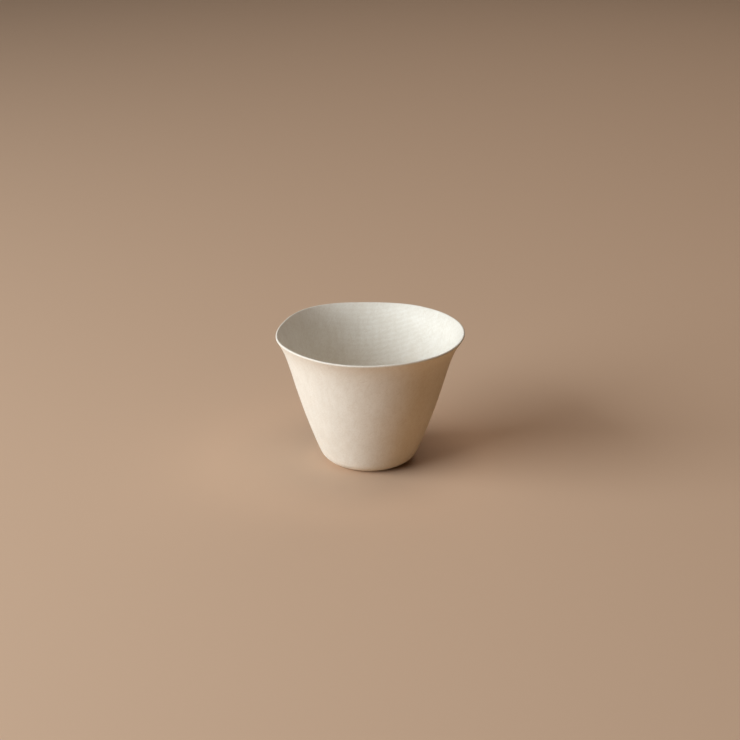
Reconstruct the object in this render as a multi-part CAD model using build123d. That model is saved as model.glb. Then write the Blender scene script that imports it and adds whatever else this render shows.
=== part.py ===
import os
from math import atan, cos, exp, pi, radians, sin

from build123d import *

# Small flared tasting cup, pressed from paper pulp as one piece.
# Origin on the cup's axis in the plane that it stands on, +Z up, the front towards -Y.
# Lengths in millimetres, angles in degrees anticlockwise from +X.

# Body
height = 52.8  # from the foot's underside to the top of the lip, mean of all round
mouth_radius = 37.0  # over the lip, mean of all round
foot_radius = 17.25  # middle of the wall, carried straight down to the floor
wall = 0.9  # pulp, as thick in the floor as in the lip
foot_edge_radius = 7.2  # outside rounding from the foot into the wall

# Line of the wall
belly_swell = 1.85  # bow outwards at half height
lip_flare = 3.7  # turn outwards at the lip
flare_reach = 5.65  # depth in which the flare and the mouth's waves die away

# The foot stands on a ring round a shallow push-up
standing_ring = 3.0  # width of the flat ring
push_up = 0.8  # rise of the floor's middle
push_up_slope = 1.6  # width of the slope round it

# The mouth is a circle with soft corners, pressed a little off the foot's axis
mouth_shift = 0.33
shift_angle = 25
lobe_swell = 0.27
lobe_angle = 1
corner_swell = 0.33
corner_angle = 40
ripple_swell = 0.22
ripple_angle = 10

# The lip rises a little at the corners
corner_lift = 0.22
lift_angle = 42

# Rings that the skin is lofted through, and the points of each
ring_points = 32
foot_rings = 5
wall_rings = 12
lip_bands = 6

half_wall = wall / 2
line_bottom = half_wall
line_top = height - half_wall
line_height = line_top - line_bottom
straight_flare = mouth_radius - half_wall - foot_radius - lip_flare


def wall_radius(z):
    """Radius of the wall's middle line at a height, before the mouth's corners."""
    u = (z - line_bottom) / line_height
    bow = belly_swell * 4 * u * (1 - u)
    return foot_radius + straight_flare * u + bow + lip_flare * exp((z - line_top) / flare_reach)


def wall_lean(z):
    """Lean of the wall from upright at a height, in radians."""
    u = (z - line_bottom) / line_height
    bow = belly_swell * 4 * (1 - 2 * u)
    flare = lip_flare / flare_reach * exp((z - line_top) / flare_reach)
    return atan((straight_flare + bow) / line_height + flare)


def wave(swell, count, peak, angle):
    return swell * cos(count * (angle - radians(peak)))


def mouth_swell(angle):
    """Departure of the mouth from a circle round the foot's axis."""
    shift = wave(mouth_shift, 1, shift_angle, angle)
    lobes = wave(lobe_swell, 3, lobe_angle, angle)
    corners = wave(corner_swell, 4, corner_angle, angle)
    return shift + lobes + corners + wave(ripple_swell, 6, ripple_angle, angle)


def lip_lift(angle):
    """Departure of the lip from a level line."""
    return wave(corner_lift, 4, lift_angle, angle)


# The foot's rounding touches the floor and runs into the wall without a break
line_edge_radius = foot_edge_radius - half_wall
edge_top = line_bottom
for _ in range(8):
    edge_top = line_bottom + line_edge_radius * (1 - sin(wall_lean(edge_top)))
edge_lean = wall_lean(edge_top)
foot_flat_radius = wall_radius(edge_top) - line_edge_radius * cos(edge_lean)


# The wall's middle line: radius, height and lean, from the floor to the lip
wall_line = []
for i in range(foot_rings):
    turn = (pi / 2 - edge_lean) * i / foot_rings
    edge_radius = foot_flat_radius + line_edge_radius * sin(turn)
    edge_height = line_bottom + line_edge_radius * (1 - cos(turn))
    wall_line.append((edge_radius, edge_height, pi / 2 - turn))
for i in range(wall_rings + 1):
    z = edge_top + (line_top - edge_top) * (1 - cos(pi * i / wall_rings)) / 2
    wall_line.append((wall_radius(z), z, wall_lean(z)))


def ring(place, turn):
    """Closed line round the cup, half a wall away from the middle line.

    The turn is 0 on the outside, a quarter turn over the lip and half a turn on the inside.
    """
    radius, z, lean = place
    out = half_wall * cos(turn)
    along = half_wall * sin(turn)
    fade = (z - line_bottom) / line_height * exp((z - line_top) / flare_reach)
    points = []
    for i in range(ring_points):
        angle = 2 * pi * i / ring_points
        r = radius + fade * mouth_swell(angle) + out * cos(lean) + along * sin(lean)
        h = z + fade * lip_lift(angle) - out * sin(lean) + along * cos(lean)
        points.append((r * cos(angle), r * sin(angle), h))
    steps = [i / ring_points for i in range(ring_points + 1)]
    return Wire([Edge.make_spline(points, periodic=True, parameters=steps)])


# Skin: the outside and the inside, each one smooth face, and the flat foot and floor.
# The lip is rounded over in narrow bands, far finer than it can be seen.
outside = [ring(place, 0) for place in wall_line]
inside = [ring(place, pi) for place in wall_line]
lip = [ring(wall_line[-1], pi * i / lip_bands) for i in range(lip_bands + 1)]
skin = Shell.make_loft(outside).faces() + Shell.make_loft(inside).faces()
skin += Shell.make_loft(lip, ruled=True).faces()
cup = Solid(Shell(skin + [Face(outside[0]), Face(inside[0])]))

# The push-up is hollow below and stands above the floor, so the pulp keeps its thickness
push_up_radius = foot_flat_radius - standing_ring
hollow = Pos(0, 0, push_up / 2) * Cone(push_up_radius, push_up_radius - push_up_slope, push_up)
cup = cup + Pos(0, 0, wall) * hollow - hollow

os.makedirs("parts", exist_ok=True)
export_step(cup, "parts/cup.step")
print("cup", "valid" if cup.is_valid else "not valid", "volume", round(cup.volume), "mm3")
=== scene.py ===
from math import atan, atan2, cos, exp, pi, radians, sin

import bpy
import numpy as np
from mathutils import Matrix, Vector, noise


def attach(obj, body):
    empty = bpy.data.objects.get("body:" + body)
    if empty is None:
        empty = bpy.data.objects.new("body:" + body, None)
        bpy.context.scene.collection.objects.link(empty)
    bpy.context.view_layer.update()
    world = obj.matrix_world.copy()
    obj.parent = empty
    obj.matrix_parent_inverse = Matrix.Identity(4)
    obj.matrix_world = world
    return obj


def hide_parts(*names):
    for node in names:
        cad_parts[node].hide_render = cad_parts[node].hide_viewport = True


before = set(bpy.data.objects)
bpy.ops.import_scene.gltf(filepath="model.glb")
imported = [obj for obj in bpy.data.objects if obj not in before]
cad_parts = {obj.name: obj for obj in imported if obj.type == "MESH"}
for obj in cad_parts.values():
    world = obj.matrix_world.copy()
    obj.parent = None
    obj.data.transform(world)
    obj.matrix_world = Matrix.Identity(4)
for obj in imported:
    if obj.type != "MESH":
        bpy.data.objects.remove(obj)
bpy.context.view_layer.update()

mm = 0.001
scene = bpy.context.scene


# The cup: lengths in millimetres, angles in degrees anticlockwise from +X
cupForm = {
    "height": 52.8,  # to the top of the lip, mean of all round
    "mouthRadius": 37.0,  # over the lip, mean of all round
    "footRadius": 17.25,  # middle of the wall, carried straight down to the floor
    "wall": 0.9,
    "footEdge": 7.2,  # rounding from the foot into the wall
    "bellySwell": 1.85,  # bow outwards at half height
    "lipFlare": 3.7,  # turn outwards at the lip
    "flareReach": 5.65,  # depth in which the flare and the mouth's waves die away
    "standingRing": 3.0,
    "pushUp": 0.8,
    "pushUpSlope": 1.6,
    # waves of the mouth and of the lip's height: how many, how high, angle of a crest
    "mouthWaves": [(1, 0.33, 25), (3, 0.27, 1), (4, 0.33, 40), (6, 0.22, 10)],
    "lipWaves": [(4, 0.22, 42)],
    # rings of the mesh, and the points of each
    "columns": 88,
    "outsideRings": 13,
    "insideRings": 28,
    "edgeRings": 5,
    "lipRings": 5,
    "lipCrowding": 1.25,  # above 1 the wall's rings lie closer towards the lip
    "pushUpMiddle": 0.55,  # of the push-up's radius, for the ring that keeps it flat
    "centreRadius": 1.5,  # ring from which the floor's middle is closed
    "weld": 0.01,  # points closer than this count as one
    "smoothing": 2,  # levels of subdivision
}

halfWall = cupForm["wall"] / 2
lineBottom = halfWall
lineTop = cupForm["height"] - halfWall
lineHeight = lineTop - lineBottom
straightFlare = cupForm["mouthRadius"] - halfWall - cupForm["footRadius"] - cupForm["lipFlare"]


def flareShare(z):
    return exp((z - lineTop) / cupForm["flareReach"])


def wallRadius(z):
    u = (z - lineBottom) / lineHeight
    bow = cupForm["bellySwell"] * 4 * u * (1 - u)
    return cupForm["footRadius"] + straightFlare * u + bow + cupForm["lipFlare"] * flareShare(z)


def wallLean(z):
    u = (z - lineBottom) / lineHeight
    bow = cupForm["bellySwell"] * 4 * (1 - 2 * u)
    flare = cupForm["lipFlare"] / cupForm["flareReach"] * flareShare(z)
    return atan((straightFlare + bow) / lineHeight + flare)


def waveSum(waves, angle):
    return sum(swell * cos(count * (angle - radians(crest))) for count, swell, crest in waves)


# where the foot's rounding meets the wall, which settles in a few passes
edgePasses = 8
edgeRadius = cupForm["footEdge"] - halfWall
edgeTop = lineBottom
for _ in range(edgePasses):
    edgeTop = lineBottom + edgeRadius * (1 - sin(wallLean(edgeTop)))
edgeLean = wallLean(edgeTop)
footFlat = wallRadius(edgeTop) - edgeRadius * cos(edgeLean)


def offLine(place, turn):
    # turn 0 is the outside, a quarter turn the top of the lip, half a turn the inside
    radius, z, lean = place
    out, along = halfWall * cos(turn), halfWall * sin(turn)
    return radius + out * cos(lean) + along * sin(lean), z - out * sin(lean) + along * cos(lean)


def wallLine(rings):
    # radius, height and lean of the wall's middle, from the foot to the lip
    line = []
    for i in range(cupForm["edgeRings"]):
        turn = (pi / 2 - edgeLean) * i / cupForm["edgeRings"]
        radius = footFlat + edgeRadius * sin(turn)
        line.append((radius, lineBottom + edgeRadius * (1 - cos(turn)), pi / 2 - turn))
    for i in range(rings + 1):
        z = edgeTop + (lineTop - edgeTop) * (1 - (1 - i / rings) ** cupForm["lipCrowding"])
        line.append((wallRadius(z), z, wallLean(z)))
    return line


def cupSection():
    # radius and height of each ring, from the middle of the underside, round the outside
    # and over the lip, to the middle of the floor
    pushUp = cupForm["pushUp"]
    pushRadius = footFlat - cupForm["standingRing"]
    pushTop = pushRadius - cupForm["pushUpSlope"]
    underside = [
        (cupForm["centreRadius"], pushUp),
        (pushTop * cupForm["pushUpMiddle"], pushUp),
        (pushTop, pushUp),
        (pushRadius, 0.0),
        (pushRadius + cupForm["standingRing"] / 2, 0.0),
    ]
    outside = [offLine(place, 0) for place in wallLine(cupForm["outsideRings"])]
    lipPlace = (wallRadius(lineTop), lineTop, wallLean(lineTop))
    lipSteps = cupForm["lipRings"] + 1
    lip = [offLine(lipPlace, pi * i / lipSteps) for i in range(1, lipSteps)]
    inside = [offLine(place, pi) for place in reversed(wallLine(cupForm["insideRings"]))]
    floorTop = [(radius, z + cupForm["wall"]) for radius, z in reversed(underside)]
    return underside + outside + lip + inside + floorTop


def closeMiddle(cup, radius, z):
    # the open ring at this place is selected, extruded and merged to a point
    near = cupForm["weld"] * mm
    bpy.ops.mesh.select_all(action="DESELECT")
    bpy.ops.object.mode_set(mode="OBJECT")
    for vertex in cup.data.vertices:
        atHeight = abs(vertex.co.z - z * mm) < near
        vertex.select = atHeight and abs(vertex.co.xy.length - radius * mm) < near
    bpy.ops.object.mode_set(mode="EDIT")
    bpy.ops.mesh.extrude_region_move()
    bpy.ops.mesh.merge(type="CENTER")


def makeCup():
    section = cupSection()
    radius, z = section[0]
    bpy.ops.object.select_all(action="DESELECT")
    bpy.ops.mesh.primitive_circle_add(
        vertices=cupForm["columns"], radius=radius * mm, location=(0, 0, z * mm))
    cup = bpy.context.object
    cup.name = cup.data.name = "pulpCup"
    bpy.ops.object.transform_apply(location=True)
    bpy.ops.object.mode_set(mode="EDIT")
    bpy.context.tool_settings.mesh_select_mode = (True, False, False)
    for nextRadius, nextZ in section[1:]:
        bpy.ops.mesh.extrude_region_move(TRANSFORM_OT_translate={"value": (0, 0, (nextZ - z) * mm)})
        grow = nextRadius / radius
        bpy.ops.transform.resize(value=(grow, grow, 1), center_override=(0, 0, nextZ * mm))
        radius, z = nextRadius, nextZ
    closeMiddle(cup, *section[-1])
    closeMiddle(cup, *section[0])
    bpy.ops.mesh.select_all(action="SELECT")
    bpy.ops.mesh.remove_doubles(threshold=cupForm["weld"] * mm)
    bpy.ops.mesh.normals_make_consistent(inside=False)
    bpy.ops.object.mode_set(mode="OBJECT")
    return cup


def drawMouth(cup):
    # the mouth's soft corners and the lift of its lip, dying away towards the foot
    for vertex in cup.data.vertices:
        x, y, z = vertex.co
        angle = atan2(y, x)
        level = min(max(z / mm, lineBottom), lineTop)
        fade = (level - lineBottom) / lineHeight * flareShare(level)
        out = fade * waveSum(cupForm["mouthWaves"], angle) * mm
        lift = fade * waveSum(cupForm["lipWaves"], angle) * mm
        vertex.co += Vector((out * cos(angle), out * sin(angle), lift))


cup = makeCup()
drawMouth(cup)
smooth = cup.modifiers.new("smooth", "SUBSURF")
smooth.levels = smooth.render_levels = cupForm["smoothing"]
bpy.ops.object.modifier_apply(modifier=smooth.name)
bpy.ops.object.shade_smooth()
print("cup modelled,", len(cup.data.polygons), "faces")


# What the mould leaves in the surface: lengths in millimetres, angles in degrees
relief = {
    # unevenness of the wall and of the trimmed lip: size and height of its waves
    "wallWaves": [(16.0, 0.07), (5.5, 0.035)],
    "rimWaves": [(7.0, 0.06), (2.2, 0.035)],
    "wallSeed": 1,
    "rimSeed": 2,
    "seedStep": (17.3, 5.1, 29.7),  # from one random field to the next
    "drumRadius": 30.0,  # the fields are read round a drum, so that both faces get the same
    "footFade": 12.0,  # height in which the wall's waves set in
    "rimDepth": 2.5,  # depth in which the lip's waves set in and the others die away
    # lines that the forming screen left on the inside
    "screenPitch": 2.75,
    "screenTilt": 1.2,  # how steeply they fall towards the back and the front
    "screenSlant": -0.1,  # below 0 they rise towards +X
    "screenRound": 8.0,  # softens their turn at the sides
    "screenHeight": 0.016,
    "screenDeepest": 70,  # side on which the screen bit deepest
    "screenGather": 12,  # how closely the deep lines keep to that side
    "screenFaintest": 0.18,  # share that is left on the other side
    # upright lines that cross them at the back and the front
    "crossPitch": 3.0,
    "crossShare": 0.3,
    "crossGather": 6,
    # a point is on the inside where it faces the axis or upwards
    "insideLean": 20,  # how far that facing is tipped up from level
    "insideBlend": 2,  # how quickly one face becomes the other over the lip
    "axisGap": 1e-6,  # smallest radius that is divided by
}


def readVertices(mesh, field):
    values = np.empty(len(mesh.vertices) * 3)
    mesh.vertices.foreach_get(field, values)
    return values.reshape(-1, 3)


def writeMark(mesh, name, values):
    mark = mesh.attributes.new(name, "FLOAT", "POINT")
    mark.data.foreach_set("value", values.astype(np.float32))


def waveField(places, waves, seed):
    # soft random waves, the same at every run
    field = np.zeros(len(places))
    shift = Vector(relief["seedStep"]) * seed
    for size, height in waves:
        field += [height * noise.noise(Vector(place) / size + shift) for place in places]
    return field


def screenLines(x, y, z, radius):
    fall = z + relief["screenTilt"] * np.hypot(y, relief["screenRound"]) + relief["screenSlant"] * x
    threads = np.cos(2 * pi / relief["screenPitch"] * fall)
    deepest = radians(relief["screenDeepest"])
    turned = (1 + (x * cos(deepest) + y * sin(deepest)) / radius) / 2
    faintest = relief["screenFaintest"]
    bite = faintest + (1 - faintest) * turned ** relief["screenGather"]
    crossing = relief["crossShare"] * np.cos(2 * pi / relief["crossPitch"] * x)
    return threads * bite + crossing * (y / radius) ** relief["crossGather"]


def pressRelief(cup):
    mesh = cup.data
    places = readVertices(mesh, "co") / mm
    normals = readVertices(mesh, "normal")
    x, y, z = places.T
    radius = np.maximum(np.hypot(x, y), relief["axisGap"])
    lean = radians(relief["insideLean"])
    outwards = (normals[:, 0] * x + normals[:, 1] * y) / radius
    facing = normals[:, 2] * sin(lean) - outwards * cos(lean)
    inside = np.clip(0.5 + relief["insideBlend"] * facing, 0, 1)
    nearLip = np.clip((z - cupForm["height"]) / relief["rimDepth"] + 1, 0, 1)
    screen = screenLines(x, y, z, radius) * inside * (1 - nearLip)
    writeMark(mesh, "inside", inside)
    writeMark(mesh, "screen", screen)

    # both faces of the wall move together, so that it keeps its thickness
    toDrum = relief["drumRadius"] / radius
    drum = np.stack([x * toDrum, y * toDrum, z], axis=1)
    fade = np.clip(z / relief["footFade"], 0, 1) * (1 - nearLip)
    push = waveField(drum, relief["wallWaves"], relief["wallSeed"]) * fade
    push *= np.where(inside > 0.5, -1.0, 1.0)
    rim = waveField(drum, relief["rimWaves"], relief["rimSeed"]) * nearLip
    places += normals * (push + relief["screenHeight"] * screen)[:, None]
    places[:, 2] += rim
    mesh.vertices.foreach_set("co", (places * mm).ravel())
    mesh.update()


pressRelief(cup)
print("relief pressed")


# Pulp: colours are linear, sizes in millimetres
# each layer is noise, and its range from low to high brings in its share of the darker colour
pulp = {
    "colour": (0.89, 0.865, 0.81, 1),
    "shadeColour": (0.79, 0.745, 0.67, 1),
    "cloud": {"size": 9.0, "detail": 3, "low": 0.35, "high": 0.7, "share": 0.30},
    "fleck": {"size": 1.6, "detail": 2, "low": 0.4, "high": 0.7, "share": 0.16},
    "streak": {"size": 1.9, "detail": 1, "low": 0.35, "high": 0.65, "share": 0.25},
    "streakDraw": (1, 1, 0.2),  # drawn out upwards
    "grain": {"size": 0.5, "detail": 3, "low": 0.4, "high": 0.7, "share": 0.35},
    "fibre": {"size": 0.32, "detail": 0, "low": 0.64, "high": 0.78, "share": 0.45},
    "fibreLength": 2.8,
    "fibreWidth": 0.16,
    "fibreTurns": [(20, 35, 10), (75, -30, 60), (-40, 15, 120), (10, 80, -35)],
    "wander": {"size": 4.2, "detail": 1},  # bends the fibres
    "wanderReach": 1.4,
    "grooveShadeShare": 0.22,  # painted shade in the screen lines' grooves, with some real density marks: the crests are paler by this
    "roughness": 0.72,
    "roughnessSpread": 0.08,
    "bumpHeight": 0.05,
    "bumpOutside": 0.36,
    "bumpInside": 0.6,
    "fibreBump": 0.4,
}


def addNode(tree, kind, values=None, **settings):
    made = tree.nodes.new("ShaderNode" + kind)
    for name, value in settings.items():
        setattr(made, name, value)
    for socket, value in (values or {}).items():
        made.inputs[socket].default_value = value
    return made


def addMath(tree, operation, first, second):
    made = addNode(tree, "Math", operation=operation)
    for socket, value in zip(made.inputs, (first, second)):
        if isinstance(value, bpy.types.NodeSocket):
            tree.links.new(value, socket)
        else:
            socket.default_value = value
    return made.outputs[0]


def addColourMix(tree, factor, first, second):
    made = addNode(tree, "Mix", data_type="RGBA")
    made.inputs["A"].default_value = first
    made.inputs["B"].default_value = second
    tree.links.new(factor, made.inputs["Factor"])
    return made.outputs["Result"]


def addDraw(tree, coords, draw):
    made = addNode(tree, "VectorMath", {1: draw}, operation="MULTIPLY")
    tree.links.new(coords, made.inputs[0])
    return made.outputs[0]


def addNoise(tree, coords, layer):
    made = addNode(tree, "TexNoise", {"Scale": 1 / (layer["size"] * mm), "Detail": layer["detail"]})
    tree.links.new(coords, made.inputs["Vector"])
    return made.outputs


def addRange(tree, value, layer):
    made = addNode(tree, "MapRange", {"From Min": layer["low"], "From Max": layer["high"]})
    tree.links.new(value, made.inputs["Value"])
    return made.outputs["Result"]


def addLayer(tree, coords, layer):
    return addRange(tree, addNoise(tree, coords, layer)["Fac"], layer)


def addFibres(tree, coords):
    # short curved hairs: noise drawn out along a few directions, only its crests kept
    draw = (pulp["fibreWidth"] / pulp["fibreLength"], 1, 1)
    reach = [pulp["wanderReach"] * mm] * 3
    bent = addNode(tree, "VectorMath", {1: reach}, operation="MULTIPLY_ADD")
    tree.links.new(addNoise(tree, coords, pulp["wander"])["Color"], bent.inputs[0])
    tree.links.new(coords, bent.inputs[2])
    total = 0.0
    for turn in pulp["fibreTurns"]:
        angles = [radians(angle) for angle in turn]
        turned = addNode(tree, "VectorRotate", {"Rotation": angles}, rotation_type="EULER_XYZ")
        tree.links.new(bent.outputs[0], turned.inputs["Vector"])
        drawn = addDraw(tree, turned.outputs[0], draw)
        total = addMath(tree, "ADD", total, addLayer(tree, drawn, pulp["fibre"]))
    return total


def makePulp():
    material = bpy.data.materials.new("pulp")
    material.use_nodes = True
    tree = material.node_tree
    shader = tree.nodes["Principled BSDF"]
    coords = addNode(tree, "TexCoord").outputs["Object"]
    inside = addNode(tree, "Attribute", attribute_name="inside").outputs["Fac"]
    screen = addNode(tree, "Attribute", attribute_name="screen").outputs["Fac"]

    cloud = addLayer(tree, coords, pulp["cloud"])
    fleck = addLayer(tree, coords, pulp["fleck"])
    streak = addLayer(tree, addDraw(tree, coords, pulp["streakDraw"]), pulp["streak"])
    grain = addNoise(tree, coords, pulp["grain"])["Fac"]
    speck = addRange(tree, grain, pulp["grain"])
    fibres = addFibres(tree, coords)

    # painted shade: the screen's lines darken the colour in their grooves and pale it on their
    # crests
    shade = addMath(tree, "MULTIPLY", screen, -pulp["grooveShadeShare"])
    layers = {"cloud": cloud, "fleck": fleck, "streak": streak, "grain": speck, "fibre": fibres}
    for name, layer in layers.items():
        darker = addMath(tree, "MULTIPLY", layer, pulp[name]["share"])
        shade = addMath(tree, "ADD", shade, darker)
    tint = addColourMix(tree, shade, pulp["colour"], pulp["shadeColour"])
    tree.links.new(tint, shader.inputs["Base Color"])

    spread = addMath(tree, "MULTIPLY", cloud, pulp["roughnessSpread"])
    rough = addMath(tree, "ADD", spread, pulp["roughness"])
    tree.links.new(rough, shader.inputs["Roughness"])

    # the inside, formed on the screen, is the rougher face
    change = addMath(tree, "MULTIPLY", inside, pulp["bumpInside"] - pulp["bumpOutside"])
    depth = addMath(tree, "ADD", change, pulp["bumpOutside"])
    hairs = addMath(tree, "MULTIPLY", fibres, pulp["fibreBump"])
    height = addMath(tree, "MULTIPLY", addMath(tree, "ADD", grain, hairs), depth)
    bump = addNode(tree, "Bump", {"Strength": 1.0, "Distance": pulp["bumpHeight"] * mm})
    tree.links.new(height, bump.inputs["Height"])
    tree.links.new(bump.outputs["Normal"], shader.inputs["Normal"])
    return material


cup.data.materials.clear()
cup.data.materials.append(makePulp())
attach(cup, "root")
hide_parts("cup")
print("cup finished")


# Floor and light: metres, degrees and watts; azimuth anticlockwise from +X
stage = {
    "floorSize": 8.0,
    "floorColour": (0.67, 0.475, 0.34, 1),  # as the camera sees it
    "bounceColour": (0.66, 0.40, 0.21, 1),  # of the light that it throws back on the cup
    "floorRoughness": 0.8,
    "aimHeight": 0.027,
    "lamps": [
        {"name": "keyLight", "azimuth": 203.5, "height": 22.5, "distance": 1.3,
         "width": 1.2, "tall": 0.8, "power": 21.6, "colour": (0.925, 0.985, 1.0)},
        {"name": "topLight", "azimuth": 0, "height": 82, "distance": 1.3,
         "width": 0.8, "tall": 0.8, "power": 4.4, "colour": (1.0, 0.81, 0.65)},
        {"name": "backLight", "azimuth": 72, "height": 38, "distance": 1.3,
         "width": 1.0, "tall": 0.8, "power": 1.6, "colour": (1.0, 0.92, 0.82)},
    ],
    "skyColour": (1.0, 0.6, 0.4, 1),
    "skyStrength": 0.012,
}


def makeFloor():
    bpy.ops.object.select_all(action="DESELECT")
    bpy.ops.mesh.primitive_plane_add(size=stage["floorSize"])
    floor = bpy.context.object
    floor.name = "floor"
    material = bpy.data.materials.new("floorPaint")
    material.use_nodes = True
    tree = material.node_tree
    shader = tree.nodes["Principled BSDF"]
    path = addNode(tree, "LightPath").outputs
    seen = addMath(tree, "MAXIMUM", path["Is Camera Ray"], path["Is Glossy Ray"])
    seen = addMath(tree, "MAXIMUM", seen, path["Is Transmission Ray"])
    paint = addColourMix(tree, seen, stage["bounceColour"], stage["floorColour"])
    tree.links.new(paint, shader.inputs["Base Color"])
    shader.inputs["Roughness"].default_value = stage["floorRoughness"]
    floor.data.materials.append(material)
    return floor


def onSphere(azimuth, height, distance):
    around, up = radians(azimuth), radians(height)
    flat = distance * cos(up)
    return Vector((flat * cos(around), flat * sin(around), distance * sin(up)))


def makeLamp(values):
    lamp = bpy.data.lights.new(values["name"], "AREA")
    lamp.shape = "RECTANGLE"
    lamp.size, lamp.size_y = values["width"], values["tall"]
    lamp.energy = values["power"]
    lamp.color = values["colour"]
    holder = bpy.data.objects.new(values["name"], lamp)
    scene.collection.objects.link(holder)
    aim = Vector((0, 0, stage["aimHeight"]))
    holder.location = aim + onSphere(values["azimuth"], values["height"], values["distance"])
    holder.rotation_euler = (aim - holder.location).to_track_quat("-Z", "Y").to_euler()


def makeSky():
    world = bpy.data.worlds.new("studio")
    world.use_nodes = True
    scene.world = world
    back = world.node_tree.nodes["Background"]
    back.inputs["Color"].default_value = stage["skyColour"]
    back.inputs["Strength"].default_value = stage["skyStrength"]


# The camera looks from the front; the picture is square and the foot's middle falls on footPixel
viewPoint = {
    "azimuth": 270,
    "height": 23.95,  # degrees above the floor, seen from the foot's middle
    "distance": 0.72,  # metres from the foot's middle
    "focalPixels": 1800,
    "pictureSize": 740,
    "footPixel": (369.0, 456.2),
    "sensor": 36.0,  # millimetres
}


def makeCamera():
    data = bpy.data.cameras.new("camera")
    data.sensor_width = viewPoint["sensor"]
    data.lens = viewPoint["sensor"] * viewPoint["focalPixels"] / viewPoint["pictureSize"]
    camera = bpy.data.objects.new("camera", data)
    scene.collection.objects.link(camera)
    camera.location = onSphere(viewPoint["azimuth"], viewPoint["height"], viewPoint["distance"])
    middle = viewPoint["pictureSize"] / 2
    right, down = (pixel - middle for pixel in viewPoint["footPixel"])
    raised = atan(down / viewPoint["focalPixels"])
    turned = atan(right / viewPoint["focalPixels"])
    camera.rotation_euler = (radians(90 - viewPoint["height"]) + raised, 0, turned)
    scene.camera = camera


makeFloor()
for values in stage["lamps"]:
    makeLamp(values)
makeSky()
makeCamera()
scene.view_settings.view_transform = "Standard"
print("stage set")
